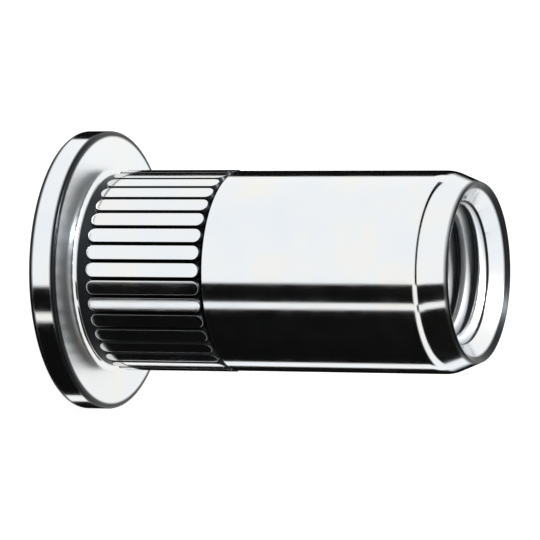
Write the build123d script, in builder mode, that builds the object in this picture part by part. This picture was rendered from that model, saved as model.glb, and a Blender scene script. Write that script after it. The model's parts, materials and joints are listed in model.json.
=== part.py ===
"""Blind rivet nut, M8: flat head, straight-knurled shank, open threaded end.

A steel blank, cold-formed in one piece and tapped. A bolt enters through the head, passes the wide chamber
and screws into the thread at the far end. The setting tool does the same and pulls: the thin wall round the
chamber folds out behind the sheet, and the ribs under the head bite into the edge of the hole.

Frame: origin at the centre of the head's outer face, +Z along the axis towards the open end. Lengths are
in millimetres, and angles in degrees.
"""

import math
import os

from build123d import *

# Bore. The thread is left at its minor diameter, as before tapping.
thread_diameter = 8.0
thread_pitch = 1.0
thread_length = 10.4  # from the end of the chamber to the open end
bolt_clearance = 0.4  # gap all round the bolt in the chamber
shoulder_angle = 60.0  # of the cone that leads a bolt from the chamber into the thread, from the axis
mouth_chamfer = 0.3  # where the chamber opens through the head

# Shank and head.
chamber_wall = 1.05  # the wall that folds when the nut is set
shank_length = 21.5  # from the bearing face to the open end
head_overhang = 2.2  # how far the head stands out past the shank
head_thickness = 1.5
head_chamfer = 0.12

# Open end: a taper outside that finds the hole, and a countersink inside that clears the thread.
taper_length = 1.5
taper_depth = 0.62
lip_width = 0.08  # flat ring left between the taper and the countersink
countersink_angle = 45.0  # from the axis

# Knurl: raised ribs with round ends. V-shaped grooves part them from each other and from the shank.
rib_count = 36
rib_length = 6.6  # over the crown
rib_stand_out = 0.05  # how far the crown stands above the shank
flank_angle = 30.0  # between a rib's sides and a line square to its crown
groove_width = 0.2  # at the crown
neck_length = 0.9  # from the bearing face to the crowns
neck_depth = 0.25  # of the ring between the head and the ribs, below the crowns
seat_gap = 0.05  # from the crowns out to the bearing face, so that the edge of the hole clears the root

# Radii and levels that follow from those sizes.
thread_depth = 0.5413 * thread_pitch  # of a metric internal thread
thread_radius = thread_diameter / 2 - thread_depth
chamber_radius = thread_diameter / 2 + bolt_clearance
shank_radius = chamber_radius + chamber_wall
head_radius = shank_radius + head_overhang
crown_radius = shank_radius + rib_stand_out
neck_radius = crown_radius - neck_depth
root_fill = neck_depth + seat_gap  # cone in the corner between the neck ring and the head
lip_outer_radius = shank_radius - taper_depth
lip_inner_radius = lip_outer_radius - lip_width

end_level = head_thickness + shank_length
taper_level = end_level - taper_length
countersink_depth = (lip_inner_radius - thread_radius) / math.tan(math.radians(countersink_angle))
shoulder_level = end_level - thread_length
shoulder_drop = (chamber_radius - thread_radius) / math.tan(math.radians(shoulder_angle))
rib_end_level = head_thickness + neck_length + rib_length
rib_middle_level = rib_end_level - rib_length / 2
shank_level = rib_end_level + groove_width

# A rib starts below the neck ring, inside the wall, and its sides draw in until they reach the crown.
foot_radius = neck_radius - neck_depth / 2
rib_height = crown_radius - foot_radius
foot_spread = 2 * rib_height * math.tan(math.radians(flank_angle))
crown_width = 2 * crown_radius * math.sin(math.pi / rib_count) - groove_width

with BuildPart() as rib:
    with BuildSketch(Plane((foot_radius, 0, rib_middle_level), x_dir=(0, 0, 1), z_dir=(1, 0, 0))):
        SlotOverall(rib_length + foot_spread, crown_width + foot_spread)
    extrude(amount=rib_height + rib_stand_out, taper=flank_angle)
    # The pad stands a little too tall, so that its crown is cut to a cylinder round the nut's axis.
    with BuildSketch():
        Circle(crown_radius)
    extrude(amount=end_level, mode=Mode.INTERSECT)

with BuildPart() as rivet_nut:
    with BuildSketch(Plane.XZ):
        with BuildLine():
            Polyline(
                (chamber_radius + mouth_chamfer, 0),
                (head_radius - head_chamfer, 0),
                (head_radius, head_chamfer),
                (head_radius, head_thickness - head_chamfer),
                (head_radius - head_chamfer, head_thickness),
                (neck_radius + root_fill, head_thickness),
                (neck_radius, head_thickness + root_fill),
                (neck_radius, rib_end_level),
                (shank_radius, shank_level),
                (shank_radius, taper_level),
                (lip_outer_radius, end_level),
                (lip_inner_radius, end_level),
                (thread_radius, end_level - countersink_depth),
                (thread_radius, shoulder_level),
                (chamber_radius, shoulder_level - shoulder_drop),
                (chamber_radius, mouth_chamfer),
                close=True,
            )
        make_face()
    revolve(axis=Axis.Z)
    with PolarLocations(0, rib_count):
        add(rib.part)

rivet_nut.part.label = "rivet_nut"
os.makedirs("parts", exist_ok=True)
export_step(rivet_nut.part, "parts/rivet_nut.step")
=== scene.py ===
import json
import math

import bpy
from mathutils import Matrix, Vector


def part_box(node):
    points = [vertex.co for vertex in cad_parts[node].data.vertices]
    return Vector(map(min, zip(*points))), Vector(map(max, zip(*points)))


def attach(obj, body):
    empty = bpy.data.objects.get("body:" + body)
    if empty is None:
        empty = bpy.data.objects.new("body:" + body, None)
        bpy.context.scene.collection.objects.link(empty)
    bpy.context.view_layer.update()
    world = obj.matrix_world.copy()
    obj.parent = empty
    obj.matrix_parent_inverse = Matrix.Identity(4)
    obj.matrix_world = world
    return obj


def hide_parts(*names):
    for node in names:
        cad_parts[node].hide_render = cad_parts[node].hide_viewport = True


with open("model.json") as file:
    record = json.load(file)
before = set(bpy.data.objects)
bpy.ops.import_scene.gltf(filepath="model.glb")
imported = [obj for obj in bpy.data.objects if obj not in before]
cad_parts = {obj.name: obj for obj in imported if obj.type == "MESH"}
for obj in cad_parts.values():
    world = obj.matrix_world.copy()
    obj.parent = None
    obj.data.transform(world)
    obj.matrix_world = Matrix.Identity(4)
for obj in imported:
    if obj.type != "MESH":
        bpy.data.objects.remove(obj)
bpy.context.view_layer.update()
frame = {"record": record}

# Camera. It looks a little down on the open end and is turned on its side, so that the nut, which stands
# on its head, lies across the view with its head at the left.
MM = 0.001
camera_distance = 250 * MM
camera_elevation = math.radians(22.93)
camera_roll = math.radians(0.41)
camera_target = Vector((-0.055, 0, 10.87)) * MM
view_width = 29.33 * MM  # at the target

back = Vector((0, -math.cos(camera_elevation), math.sin(camera_elevation)))
right = Vector((0, math.sin(camera_elevation), math.cos(camera_elevation)))
upright = Matrix((right, back.cross(right), back)).transposed()
camera = bpy.data.objects.new("camera", bpy.data.cameras.new("camera"))
camera.data.lens = camera.data.sensor_width * camera_distance / view_width
camera.data.clip_start = camera_distance / 100
camera.location = camera_target + back * camera_distance
camera.rotation_euler = (upright @ Matrix.Rotation(camera_roll, 3, "Z")).to_euler()
bpy.context.scene.collection.objects.link(camera)
bpy.context.scene.camera = camera

# The nut. One cold-formed steel blank with a rolled knurl under its head and a tapped bore at its far end.
# Its outside, chamber and countersink are one ten-degree slice, repeated once for each rib. The thread is
# a sheet that climbs with the helix, and closes the bore between the countersink and the chamber.
# Sizes are in millimetres, and levels are heights above the head's outer face.
mounts = {mount["name"]: mount for mount in frame["record"]["mounts"]}
nut_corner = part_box("rivet_nut")[1]
head_radius = nut_corner.x / MM
end_level = nut_corner.z / MM
head_thickness = mounts["bearing_face"]["pos_m"][2] / MM
crown_radius = mounts["shank"]["dims"]["r_mm"]
chamber_radius = mounts["chamber"]["dims"]["r_mm"]
minor_radius = mounts["thread"]["dims"]["r_mm"]

rim_edge_radius = 0.15
root_radius = 0.3  # between the head and the neck
neck_depth = 0.25  # below the crowns of the ribs
neck_radius = crown_radius - neck_depth
rib_stand_out = 0.05
shank_radius = crown_radius - rib_stand_out
taper_length = 1.5
taper_root_radius = 1.6
lip_outer_radius = shank_radius - 0.62
lip_inner_radius = lip_outer_radius - 0.08
lip_edge_radius = 0.04
countersink_slope = math.tan(math.radians(45))
mouth_chamfer = 0.3  # where the chamber opens through the head
mouth_edge_radius = 0.08
chamber_end = mouth_chamfer + mounts["chamber"]["dims"]["length_mm"]
shoulder_slope = math.tan(math.radians(60))
shoulder_edge_radius = 0.15
lead_share = 0.25  # a flat before and after each rounding, as a share of the rounding's reach
arc_steps = 4

rib_count = 36
columns_per_rib = 8
rows_per_corner = 6  # spokes on each side of a rib's round end
half_pitch = math.pi * crown_radius / rib_count
groove_width = 0.2
crown_half_width = half_pitch - groove_width / 2
flank_turn = math.radians(60)  # from the crown down into a rib's side
crown_edge_radius = 0.03
crown_edge_start = crown_half_width - crown_edge_radius * math.tan(flank_turn / 2)
crown_edge_width = crown_edge_radius * math.sin(flank_turn)
crown_start = head_thickness + 0.9
crown_end = crown_start + 6.6
step_length = 0.2  # from the ribs' ends up to the shank
holding_gap = 0.03  # between an edge and the points beside it that keep it crisp
knurl_start = head_thickness + root_radius * (1 + lead_share) + 0.015
knurl_end = crown_end + step_length + 0.12

thread_pitch = 1.0
major_radius = 4.0
rows_per_pitch = 16
thread_rounding = 0.06
mouth_radius = 3.8
run_in = 0.35  # below the mouth, where the thread grows to its full depth
seam_radius = major_radius + 0.05
seam_low = chamber_end + (chamber_radius - seam_radius) / shoulder_slope
seam_high = end_level - (lip_inner_radius - mouth_radius) / countersink_slope
merge_gap = 0.0002
sharp_angle = math.radians(32)


def rounded_outline(corners):
    """Points along a half-section. Each corner is (radius, level, rounding)."""
    points = [Vector(corners[0][:2])]
    for before, corner, after in zip(corners, corners[1:], corners[2:]):
        middle = Vector(corner[:2])
        back_way = (Vector(before[:2]) - middle).normalized()
        on_way = (Vector(after[:2]) - middle).normalized()
        half_angle = back_way.angle(on_way) / 2
        reach = corner[2] / math.tan(half_angle)
        centre = middle + (back_way + on_way).normalized() * corner[2] / math.sin(half_angle)
        start = middle + back_way * reach
        end = middle + on_way * reach
        points.append(start + back_way * reach * lead_share)
        for step in range(arc_steps + 1):
            way = (start - centre).normalized().slerp((end - centre).normalized(), step / arc_steps)
            points.append(centre + way * corner[2])
        points.append(end + on_way * reach * lead_share)
    points.append(Vector(corners[-1][:2]))
    return points


def rib_drop(distance):
    """How far a rib's surface lies below its crown, at a distance from its middle line."""
    past_edge = distance - crown_edge_start
    if past_edge <= 0:
        return 0.0
    if past_edge < crown_edge_width:
        return crown_edge_radius - math.sqrt(crown_edge_radius ** 2 - past_edge ** 2)
    return (distance - crown_half_width) * math.tan(flank_turn)


def ring_drop(level):
    """How far the ring round the ribs lies below the crowns: the neck, and the step up to the shank."""
    step_height = neck_depth - rib_stand_out
    rise = step_height * (level - crown_end) / step_length
    return neck_depth - min(max(rise, 0.0), step_height)


def valley(start, way, limit):
    """The distance along a spoke at which a rib's flank meets the ring, or the limit if that comes first."""
    low, high = crown_half_width, limit
    if rib_drop(high) < ring_drop(start + way.y * high):
        return limit
    for _ in range(30):
        middle = (low + high) / 2
        if rib_drop(middle) < ring_drop(start + way.y * middle):
            low = middle
        else:
            high = middle
    return high


def spoke(start, target):
    """Surface points from a rib's middle line out to the edge of its slice, as (across, level, drop)."""
    way = Vector(target) - Vector((0, start))
    limit = way.length
    way.normalize()
    distances = [0, crown_half_width * 0.55, crown_edge_start - holding_gap, crown_edge_start]
    distances += [crown_edge_start + crown_edge_width * share for share in (0.3, 0.6, 0.85, 1)]
    meet = valley(start, way, limit)
    distances += [(distances[-1] + meet) / 2, meet]
    climbs = way.y > 0.3  # towards the step up to the shank
    top = (crown_end + step_length - start) / way.y if climbs else (meet + limit) / 2
    distances += [max(meet, min(limit, top + shift)) for shift in (-holding_gap, 0, holding_gap)]
    points = []
    for distance in distances + [limit]:
        distance = min(distance, limit)
        level = start + way.y * distance
        points.append((way.x * distance, level, min(rib_drop(distance), ring_drop(level))))
    return points


def slice_mesh():
    """One slice of the nut, from the thread's lower seam round the outside to its mouth."""
    below = rounded_outline((
        (seam_radius, seam_low, 0),
        (chamber_radius, chamber_end, shoulder_edge_radius),
        (chamber_radius, mouth_chamfer, mouth_edge_radius),
        (chamber_radius + mouth_chamfer, 0, mouth_edge_radius),
        (head_radius, 0, rim_edge_radius),
        (head_radius, head_thickness, rim_edge_radius),
        (neck_radius, head_thickness, root_radius),
        (neck_radius, knurl_start, 0),
    ))
    above = rounded_outline((
        (shank_radius, knurl_end, 0),
        (shank_radius, end_level - taper_length, taper_root_radius),
        (lip_outer_radius, end_level, lip_edge_radius),
        (lip_inner_radius, end_level, lip_edge_radius),
        (mouth_radius, seam_high, 0),
    ))
    points, faces = [], []

    def place(radius, across, level):
        angle = across / crown_radius
        points.append(Vector((radius * math.cos(angle), radius * math.sin(angle), level)) * MM)

    for outline in (below, above):
        first = len(points)
        for radius, level in outline:
            for column in range(columns_per_rib + 1):
                place(radius, half_pitch * (2 * column / columns_per_rib - 1), level)
        for row in range(len(outline) - 1):
            for column in range(columns_per_rib):
                corner = first + row * (columns_per_rib + 1) + column
                above_corner = corner + columns_per_rib + 1
                faces.append((corner, corner + 1, above_corner + 1, above_corner))

    # the rib: spokes in a ring round it, from the middles of its two round ends and the line between them
    low_middle = crown_start + crown_half_width
    high_middle = crown_end - crown_half_width
    spokes = []
    for middle, opposite, border, side in ((low_middle, high_middle, knurl_start, -half_pitch),
                                           (high_middle, low_middle, knurl_end, half_pitch)):
        for step in range(rows_per_corner):
            spokes.append((middle, (side, middle + (border - middle) * step / rows_per_corner)))
        for column in range(columns_per_rib + 1):
            spokes.append((middle, (side * (1 - 2 * column / columns_per_rib), border)))
        for step in range(1, rows_per_corner + 1):
            spokes.append((middle, (-side, border + (middle - border) * step / rows_per_corner)))
        for step in (1, 2):
            level = middle + (opposite - middle) * step / 3
            spokes.append((level, (-side, level)))
    first = len(points)
    rows = [spoke(*each) for each in spokes]
    for row in rows:
        for across, level, drop in row:
            place(crown_radius - drop, across, level)
    length = len(rows[0])
    for number in range(len(rows)):
        here = first + number * length
        there = first + (number + 1) % len(rows) * length
        for step in range(length - 1):
            faces.append((here + step, here + step + 1, there + step + 1, there + step))
    mesh = bpy.data.meshes.new("nut_slice")
    mesh.from_pydata(points, [], faces)
    return mesh


def add_node(tree, kind, inputs=(), output=0, **settings):
    """Adds one node with its settings. Each input is a value or the output that feeds it."""
    node = tree.nodes.new(kind)
    for name, value in settings.items():
        setattr(node, name, value)
    for key, value in inputs.items() if isinstance(inputs, dict) else enumerate(inputs):
        if isinstance(value, bpy.types.NodeSocket):
            tree.links.new(value, node.inputs[key])
        else:
            node.inputs[key].default_value = value
    return node.outputs[output] if node.outputs else node


def tapped_nut_tree(material):
    """Repeats the slice round the axis, and closes the bore with a right-hand thread."""
    tree = bpy.data.node_groups.new("tapped_nut", "GeometryNodeTree")
    tree.is_modifier = True
    tree.interface.new_socket("Geometry", in_out="OUTPUT", socket_type="NodeSocketGeometry")
    tree.interface.new_socket("Geometry", in_out="INPUT", socket_type="NodeSocketGeometry")
    for name in ("Ribs", "Columns", "Rows"):
        tree.interface.new_socket(name, in_out="INPUT", socket_type="NodeSocketInt")
    for name in ("Pitch", "Row Height", "Minor Radius", "Major Radius", "Rounding", "Mouth Level",
                 "Mouth Radius", "Run In", "Low Seam", "Seam Radius", "Shoulder Slope"):
        tree.interface.new_socket(name, in_out="INPUT", socket_type="NodeSocketFloat")
    sizes = tree.nodes.new("NodeGroupInput").outputs

    # ring of slices
    number = add_node(tree, "GeometryNodeInputIndex")
    step = add_node(tree, "ShaderNodeMath", (math.tau, sizes["Ribs"]), operation="DIVIDE")
    turn = add_node(tree, "ShaderNodeMath", (number, step), operation="MULTIPLY")
    rotation = add_node(tree, "ShaderNodeCombineXYZ", {"Z": turn})
    centres = add_node(tree, "GeometryNodePoints", {"Count": sizes["Ribs"]})
    ring = add_node(tree, "GeometryNodeInstanceOnPoints",
                    {"Points": centres, "Instance": sizes["Geometry"], "Rotation": rotation})
    ring = add_node(tree, "GeometryNodeRealizeInstances", {"Geometry": ring})

    # thread sheet: its rows climb with the helix, down from a full turn above the mouth
    across_points = add_node(tree, "ShaderNodeMath", (sizes["Columns"], 1), operation="ADD")
    along_points = add_node(tree, "ShaderNodeMath", (sizes["Rows"], 1), operation="ADD")
    grid = add_node(tree, "GeometryNodeMeshGrid",
                    {"Size X": 1, "Size Y": 1, "Vertices X": across_points, "Vertices Y": along_points})
    place = add_node(tree, "GeometryNodeInputPosition")
    across = add_node(tree, "ShaderNodeSeparateXYZ", {"Vector": place}, output="X")
    along = add_node(tree, "ShaderNodeSeparateXYZ", {"Vector": place}, output="Y")
    turn = add_node(tree, "ShaderNodeMath", (across, 0.5), operation="ADD")
    height = add_node(tree, "ShaderNodeMath", (sizes["Rows"], sizes["Row Height"]), operation="MULTIPLY")
    share = add_node(tree, "ShaderNodeMath", (along, 0.5), operation="SUBTRACT")
    climb = add_node(tree, "ShaderNodeMath", (share, height), operation="MULTIPLY")
    level = add_node(tree, "ShaderNodeMath", (turn, sizes["Pitch"], climb), operation="MULTIPLY_ADD")
    level = add_node(tree, "ShaderNodeMath", (level, sizes["Mouth Level"]), operation="ADD")
    level = add_node(tree, "ShaderNodeMath", (level, sizes["Mouth Level"]), operation="MINIMUM")
    level = add_node(tree, "ShaderNodeMath", (level, sizes["Low Seam"]), operation="MAXIMUM")

    # thread profile: crest a quarter of a pitch wide, root an eighth, corners rounded
    phase = add_node(tree, "ShaderNodeMath", (climb, sizes["Pitch"]), operation="DIVIDE")
    phase = add_node(tree, "ShaderNodeMath", (phase,), operation="FRACT")
    phase = add_node(tree, "ShaderNodeMath", (phase, 0.5), operation="SUBTRACT")
    phase = add_node(tree, "ShaderNodeMath", (phase,), operation="ABSOLUTE")
    radius = add_node(tree, "ShaderNodeMapRange",
                      {"Value": phase, "From Min": 1 / 8, "From Max": 1 / 2 - 1 / 16,
                       "To Min": sizes["Minor Radius"], "To Max": sizes["Major Radius"]}, clamp=False)
    radius = add_node(tree, "ShaderNodeMath", (radius, sizes["Minor Radius"], sizes["Rounding"]),
                      operation="SMOOTH_MAX")
    radius = add_node(tree, "ShaderNodeMath", (radius, sizes["Major Radius"], sizes["Rounding"]),
                      operation="SMOOTH_MIN")
    under_mouth = add_node(tree, "ShaderNodeMath", (sizes["Mouth Level"], level), operation="SUBTRACT")
    radius = add_node(tree, "ShaderNodeMapRange",
                      {"Value": under_mouth, "From Min": 0, "From Max": sizes["Run In"],
                       "To Min": sizes["Mouth Radius"], "To Max": radius}, interpolation_type="SMOOTHSTEP")
    above_seam = add_node(tree, "ShaderNodeMath", (level, sizes["Low Seam"]), operation="SUBTRACT")
    shoulder = add_node(tree, "ShaderNodeMath", (above_seam, sizes["Shoulder Slope"]), operation="MULTIPLY")
    shoulder = add_node(tree, "ShaderNodeMath", (sizes["Seam Radius"], shoulder), operation="SUBTRACT")
    radius = add_node(tree, "ShaderNodeMath", (radius, shoulder), operation="MAXIMUM")
    flat = add_node(tree, "ShaderNodeCombineXYZ", {"X": radius})
    angle = add_node(tree, "ShaderNodeMath", (turn, math.tau), operation="MULTIPLY")
    point = add_node(tree, "ShaderNodeVectorRotate", {"Vector": flat, "Angle": angle},
                     rotation_type="Z_AXIS")
    rise = add_node(tree, "ShaderNodeCombineXYZ", {"Z": level})
    point = add_node(tree, "ShaderNodeVectorMath", (point, rise), operation="ADD")
    sheet = add_node(tree, "GeometryNodeSetPosition", {"Geometry": grid, "Position": point})
    sheet = add_node(tree, "GeometryNodeFlipFaces", {"Mesh": sheet})

    # one skin, smooth but for its sharp edges
    join = tree.nodes.new("GeometryNodeJoinGeometry")
    for part in (ring, sheet):
        tree.links.new(part, join.inputs[0])
    skin = add_node(tree, "GeometryNodeMergeByDistance",
                    {"Geometry": join.outputs[0], "Distance": merge_gap * MM})
    skin = add_node(tree, "GeometryNodeSetShadeSmooth",
                    {"Geometry": skin, "Shade Smooth": True}, domain="FACE")
    edge_angle = add_node(tree, "GeometryNodeInputMeshEdgeAngle")
    sharp = add_node(tree, "FunctionNodeCompare", {"A": edge_angle, "B": sharp_angle},
                     data_type="FLOAT", operation="GREATER_THAN")
    skin = add_node(tree, "GeometryNodeSetShadeSmooth",
                    {"Geometry": skin, "Selection": sharp, "Shade Smooth": False}, domain="EDGE")
    skin = add_node(tree, "GeometryNodeRealizeInstances", {"Geometry": skin})
    skin = add_node(tree, "GeometryNodeSetMaterial", {"Geometry": skin, "Material": material})
    tree.links.new(skin, tree.nodes.new("NodeGroupOutput").inputs[0])
    return tree


def linear_colour(code):
    """An sRGB hex colour as linear red, green, blue and alpha."""
    shares = [int(code[place:place + 2], 16) / 255 for place in (1, 3, 5)]
    return [share / 12.92 if share <= 0.04045 else ((share + 0.055) / 1.055) ** 2.4
            for share in shares] + [1]


# Bright zinc plate, clear passivated. The shank is burnished by its die and mirrors like chrome, a little
# blue with faint straw clouds. The grooves and the bore are duller, and shade is painted dark into them,
# and dark lines are painted along the outer edges in place of their shade.
zinc = bpy.data.materials.new("bright_zinc_plate")
zinc.use_nodes = True
tree = zinc.node_tree
tree.nodes.clear()
place = add_node(tree, "ShaderNodeTexCoord", output="Object")
flat = add_node(tree, "ShaderNodeVectorMath", (place, (1, 1, 0)), operation="MULTIPLY")
radius = add_node(tree, "ShaderNodeVectorMath", (flat,), output="Value", operation="LENGTH")
level = add_node(tree, "ShaderNodeSeparateXYZ", (place,), output="Z")

# regions: each is 0 up to its first size and 1 from its second on
regions = {}
for name, size, start, end in (
        # painted shade: the knurl's grooves, and the neck below the ribs up to over_head
        ("groove_shade", radius, crown_radius - 0.0012, crown_radius - 0.003),
        ("outside", radius, chamber_radius + 0.3, chamber_radius + 0.5),
        ("under_shank", level, knurl_end - 0.1, knurl_end - 0.15),
        ("over_head", level, crown_start - 0.7, crown_start - 0.62),
        ("bore", radius, lip_inner_radius - 0.05, lip_inner_radius - 0.1),
        ("under_mouth", level, seam_high + 0.01, seam_high - 0.01),
        # painted shade: darker in the thread's roots
        ("thread_root_shade", radius, minor_radius + 0.1, major_radius),
        # painted shade: darker deeper down the bore
        ("deep_bore_shade", level, seam_high - 0.8, seam_high - 4),
        ("head_face", level, head_thickness + 0.1, head_thickness),
        ("inside_rim", radius, head_radius - 0.01, head_radius - rim_edge_radius),
        ("countersink", radius, lip_inner_radius, lip_inner_radius - 0.1),
        ("above_mouth", level, seam_high - 0.001, seam_high + 0.001)):
    regions[name] = add_node(tree, "ShaderNodeMapRange",
                             {"Value": size, "From Min": start * MM, "From Max": end * MM})
for name, limit in (("groove_shade", "outside"), ("groove_shade", "under_shank"), ("groove_shade", "over_head"),
                    ("bore", "under_mouth"), ("thread_root_shade", "bore"), ("deep_bore_shade", "bore"),
                    ("head_face", "inside_rim"), ("countersink", "above_mouth")):
    regions[name] = add_node(tree, "ShaderNodeMath", (regions[name], regions[limit]),
                             operation="MULTIPLY")

# painted edge lines: dark lines standing in for shade on the head's two rims, the lip of the open end and,
# finer, the mouth of the thread
section = add_node(tree, "ShaderNodeCombineXYZ", {"X": radius, "Y": level})
edge_shade_line = None
for edge_radius, edge_level, width in (
        (head_radius, 0, 0.3), (head_radius - 0.06, head_thickness, 0.3),
        (lip_inner_radius - 0.08, end_level - 0.08, 0.31), (mouth_radius, seam_high, 0.1)):
    edge = (edge_radius * MM, edge_level * MM, 0)
    apart = add_node(tree, "ShaderNodeVectorMath", (section, edge), output="Value", operation="DISTANCE")
    band = add_node(tree, "ShaderNodeMapRange",
                    {"Value": apart, "From Min": width * MM, "From Max": width * 0.6 * MM})
    edge_shade_line = band if edge_shade_line is None else add_node(tree, "ShaderNodeMath", (edge_shade_line, band), operation="MAXIMUM")
regions["edge_shade_line"] = edge_shade_line

# tint: blue and straw clouds 3 mm across, with painted shade: near-black in the knurl's grooves, on the neck
# and along the edge lines, and darker down the bore and in the thread's roots
cloud = add_node(tree, "ShaderNodeTexNoise", {"Vector": place, "Scale": 1 / (3 * MM), "Detail": 3.0})
tint = add_node(tree, "ShaderNodeValToRGB", (cloud,))
stops = tint.node.color_ramp.elements
stops[0].position = 0.3
stops[0].color = linear_colour("#DDE2E7")
stops[1].position = 0.7
stops[1].color = linear_colour("#E5E4E0")
stops.new(0.5).color = linear_colour("#E1E4E6")
# painted shade and painted edge lines: each darkens the tint inside its region
for name, shade in (("groove_shade", "#242628"), ("deep_bore_shade", "#34373A"), ("thread_root_shade", "#4C5054"),
                    ("edge_shade_line", "#232527")):
    tint = add_node(tree, "ShaderNodeMix", {0: regions[name], 6: tint, 7: linear_colour(shade)},
                    output=2, data_type="RGBA")

# gloss: sharp on the burnished shank, softer on the cut countersink and the head's pressed faces, satin
# in the grooves and the bore
smear = add_node(tree, "ShaderNodeTexNoise", {"Vector": place, "Scale": 1 / (1.2 * MM), "Detail": 4.0})
gloss = add_node(tree, "ShaderNodeMapRange",
                 {"Value": smear, "From Min": 0.3, "From Max": 0.7, "To Min": 0.07, "To Max": 0.11})
for name, rough in (("countersink", 0.2), ("head_face", 0.3), ("groove_shade", 0.4), ("bore", 0.45),
                    ("edge_shade_line", 0.3)):
    gloss = add_node(tree, "ShaderNodeMix", {0: regions[name], 2: gloss, 3: rough}, data_type="FLOAT")

# relief: plate grain 0.2 mm across, drawn coarser than the real 0.02 mm so that it shows; draw marks along
# the shank 0.1 mm wide; rings 0.12 mm apart on the pressed faces
grain = add_node(tree, "ShaderNodeTexNoise", {"Vector": place, "Scale": 1 / (0.2 * MM), "Detail": 2.0})
stretched = add_node(tree, "ShaderNodeVectorMath", (place, (1, 1, 0.02)), operation="MULTIPLY")
draw_marks = add_node(tree, "ShaderNodeTexNoise",
                      {"Vector": stretched, "Scale": 1 / (0.1 * MM), "Detail": 1.0})
rings = add_node(tree, "ShaderNodeTexNoise", {"W": radius, "Scale": 1 / (0.12 * MM), "Detail": 1.0},
                 noise_dimensions="1D")
marks = add_node(tree, "ShaderNodeMix", {0: regions["head_face"], 2: draw_marks, 3: rings},
                 data_type="FLOAT")
relief = add_node(tree, "ShaderNodeMath", (grain, 0.4, marks), operation="MULTIPLY_ADD")
normal = add_node(tree, "ShaderNodeBump", {"Height": relief, "Strength": 1.0, "Distance": 0.0006 * MM})
surface = add_node(tree, "ShaderNodeBsdfPrincipled",
                   {"Base Color": tint, "Metallic": 1.0, "Roughness": gloss, "Normal": normal})
add_node(tree, "ShaderNodeOutputMaterial", {"Surface": surface})

nut = bpy.data.objects.new("rivet_nut_body", slice_mesh())
bpy.context.scene.collection.objects.link(nut)
modifier = nut.modifiers.new("tapped_nut", "NODES")
modifier.node_group = tapped_nut_tree(zinc)
settings = {
    "Ribs": rib_count,
    "Columns": rib_count * columns_per_rib,
    "Rows": math.ceil((seam_high - seam_low + thread_pitch) / thread_pitch * rows_per_pitch),
    "Pitch": thread_pitch * MM,
    "Row Height": thread_pitch * MM / rows_per_pitch,
    "Minor Radius": minor_radius * MM,
    "Major Radius": major_radius * MM,
    "Rounding": thread_rounding * MM,
    "Mouth Level": seam_high * MM,
    "Mouth Radius": mouth_radius * MM,
    "Run In": run_in * MM,
    "Low Seam": seam_low * MM,
    "Seam Radius": seam_radius * MM,
    "Shoulder Slope": shoulder_slope,
}
for socket in modifier.node_group.interface.items_tree:
    if socket.in_out == "INPUT" and socket.name in settings:
        modifier[socket.identifier] = settings[socket.name]
evaluated = nut.evaluated_get(bpy.context.evaluated_depsgraph_get())
finished = bpy.data.meshes.new_from_object(evaluated)
nut.modifiers.remove(modifier)
nut.data = finished
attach(nut, "root")
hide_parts("rivet_nut")

# Studio floor. White paper, which glows a little towards the camera so that it shows white and still
# keeps the nut's shadow. The metal doesn't mirror it, so that the bands run straight along the shank.
floor_reach = 600 * MM
glow_level = 1.15
glow_share = 0.79

floor_mesh = bpy.data.meshes.new("floor")
floor_mesh.from_pydata([(-floor_reach, -floor_reach, 0), (floor_reach, -floor_reach, 0),
                        (floor_reach, floor_reach, 0), (-floor_reach, floor_reach, 0)],
                       [], [(0, 1, 2, 3)])
floor = bpy.data.objects.new("floor", floor_mesh)
bpy.context.scene.collection.objects.link(floor)
floor.visible_glossy = False
paper = bpy.data.materials.new("white_paper")
paper.use_nodes = True
tree = paper.node_tree
tree.nodes.clear()
place = add_node(tree, "ShaderNodeTexCoord", output="Object")
fibre = add_node(tree, "ShaderNodeTexNoise", {"Vector": place, "Scale": 1 / (4 * MM)})
tone = add_node(tree, "ShaderNodeValToRGB", (fibre,))
tone.node.color_ramp.elements[0].color = linear_colour("#F4F4F2")
tone.node.color_ramp.elements[1].color = linear_colour("#F8F8F7")
diffuse = add_node(tree, "ShaderNodeBsdfDiffuse", {"Color": tone})
glow = add_node(tree, "ShaderNodeEmission", {"Color": (1, 1, 1, 1), "Strength": glow_level})
seen = tree.nodes.new("ShaderNodeLightPath").outputs["Is Camera Ray"]
share = add_node(tree, "ShaderNodeMath", (seen, glow_share), operation="MULTIPLY")
lit = add_node(tree, "ShaderNodeMixShader", (share, diffuse, glow))
add_node(tree, "ShaderNodeOutputMaterial", {"Surface": lit})
floor_mesh.materials.append(paper)

# Studio room. Bright metal shows only what it mirrors, so the room is white with dark cards standing round
# the nut: they draw the bands along its shank and dark lines on its edges. Cards run from one bearing to
# another, in degrees from the camera's side round by +X. Heights are sines of the angle above the horizon.
# The cards beside the nut are lower on the far side, so that the countersink mirrors only white. A slot
# through them lights rounded edges, and in front a dark line at the horizon draws the start of the taper.
side_cards = ((14, 36), (44, 129))
back_cards = ((142, 221),)
line_gaps = ((14, 36), (44, 240))
card_edge = 0.8  # half the width over which a card's edge fades
side_slope = (85, 105)  # bearings between which the side cards' top comes down
side_tops = (0.5, 0.25)
back_top = (-0.2, -0.1)
slot_levels = ((-0.28, -0.22), (0.02, -0.02))
line_levels = ((-0.12, -0.1), (0.03, 0.01))
card_level = 0.005
room_level = 1.14
fill_level = 0.55  # on the floor

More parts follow.
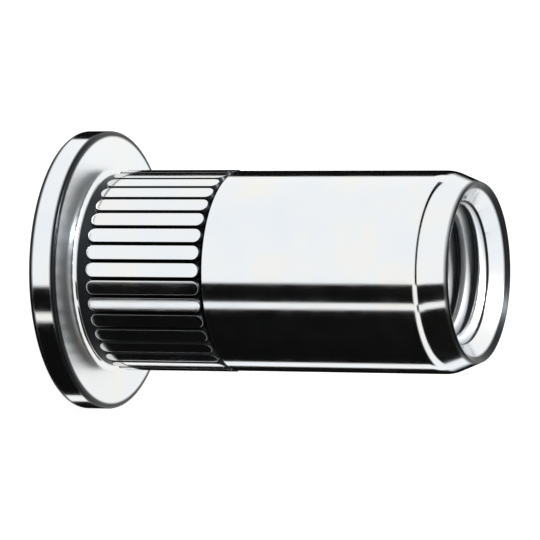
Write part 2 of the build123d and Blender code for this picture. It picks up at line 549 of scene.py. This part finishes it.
world = bpy.data.worlds.new("studio")
world.use_nodes = True
tree = world.node_tree
tree.nodes.clear()
way = add_node(tree, "ShaderNodeTexCoord", output="Generated")
across = add_node(tree, "ShaderNodeSeparateXYZ", (way,), output="X")
away = add_node(tree, "ShaderNodeSeparateXYZ", (way,), output="Y")
height = add_node(tree, "ShaderNodeSeparateXYZ", (way,), output="Z")
near = add_node(tree, "ShaderNodeMath", (away, -1.0), operation="MULTIPLY")
bearing = add_node(tree, "ShaderNodeMath", (across, near), operation="ARCTAN2")
bearing = add_node(tree, "ShaderNodeMath", (bearing, math.tau), operation="DIVIDE")
bearing = add_node(tree, "ShaderNodeMath", (bearing,), operation="FRACT")

# by bearing: 1 where a ring of the room is open, and 0 on its cards
ramps = []
for cards in (side_cards, back_cards, line_gaps):
    factor = add_node(tree, "ShaderNodeValToRGB", (bearing,))
    ramp = factor.node.color_ramp
    ramp.elements.remove(ramp.elements[1])
    ramp.elements[0].position = 0
    ramp.elements[0].color = (1, 1, 1, 1)
    for start, end in cards:
        for angle, shade in ((start - card_edge, 1), (start + card_edge, 0),
                             (end - card_edge, 0), (end + card_edge, 1)):
            ramp.elements.new(angle / 360).color = (shade, shade, shade, 1)
    ramps.append(factor)
open_sides, open_back, open_line = ramps

# by height: 1 above the cards, and in the slot and the line
side_top = add_node(tree, "ShaderNodeMapRange",
                    {"Value": bearing, "From Min": side_slope[0] / 360, "From Max": side_slope[1] / 360,
                     "To Min": side_tops[0], "To Max": side_tops[1]})
lift = add_node(tree, "ShaderNodeMath", (height, side_top), operation="SUBTRACT")
steps = []
for value, (start, end) in ((lift, (-0.05, 0.05)), (height, back_top),
                            (height, slot_levels[0]), (height, slot_levels[1]),
                            (height, line_levels[0]), (height, line_levels[1])):
    steps.append(add_node(tree, "ShaderNodeMapRange", {"Value": value, "From Min": start, "From Max": end},
                          interpolation_type="SMOOTHSTEP"))
above_sides, above_back, slot_bottom, slot_top, line_bottom, line_top = steps
slot = add_node(tree, "ShaderNodeMath", (slot_bottom, slot_top), operation="MULTIPLY")
line = add_node(tree, "ShaderNodeMath", (line_bottom, line_top), operation="MULTIPLY")
line = add_node(tree, "ShaderNodeMath", (line, open_line), operation="MULTIPLY")

sides = add_node(tree, "ShaderNodeMath", (open_sides, above_sides), operation="MAXIMUM")
sides = add_node(tree, "ShaderNodeMath", (sides, slot), operation="MAXIMUM")
sides = add_node(tree, "ShaderNodeMath", (sides, line), operation="SUBTRACT")
backs = add_node(tree, "ShaderNodeMath", (open_back, above_back), operation="MAXIMUM")
openness = add_node(tree, "ShaderNodeMath", (sides, backs), operation="MINIMUM")
strength = add_node(tree, "ShaderNodeMapRange",
                    {"Value": openness, "To Min": card_level, "To Max": room_level})
room = add_node(tree, "ShaderNodeBackground", {"Color": (1, 1, 1, 1), "Strength": strength})
fill = add_node(tree, "ShaderNodeBackground", {"Color": (1, 1, 1, 1), "Strength": fill_level})
white = add_node(tree, "ShaderNodeBackground", {"Color": (1, 1, 1, 1), "Strength": 1.0})
rays = tree.nodes.new("ShaderNodeLightPath").outputs
lighting = add_node(tree, "ShaderNodeMixShader", (rays["Is Glossy Ray"], fill, room))
shown = add_node(tree, "ShaderNodeMixShader", (rays["Is Camera Ray"], lighting, white))
add_node(tree, "ShaderNodeOutputWorld", {"Surface": shown})
bpy.context.scene.world = world

# Key lamp. It shines down into the open end from beside the camera, and lights the thread's far side.
key_distance = 250 * MM
key_bearing = math.radians(-60)
key_height = math.radians(52)
key = bpy.data.lights.new("key", "AREA")
key.energy = 1.4
key.size = 40 * MM
key_lamp = bpy.data.objects.new("key", key)
key_way = Vector((math.sin(key_bearing) * math.cos(key_height),
                  -math.cos(key_bearing) * math.cos(key_height), math.sin(key_height)))
key_lamp.location = Vector((0, 0, end_level * MM)) + key_way * key_distance
key_lamp.rotation_euler = key_way.to_track_quat("Z", "Y").to_euler()
bpy.context.scene.collection.objects.link(key_lamp)

bpy.context.scene.view_settings.view_transform = "Standard"
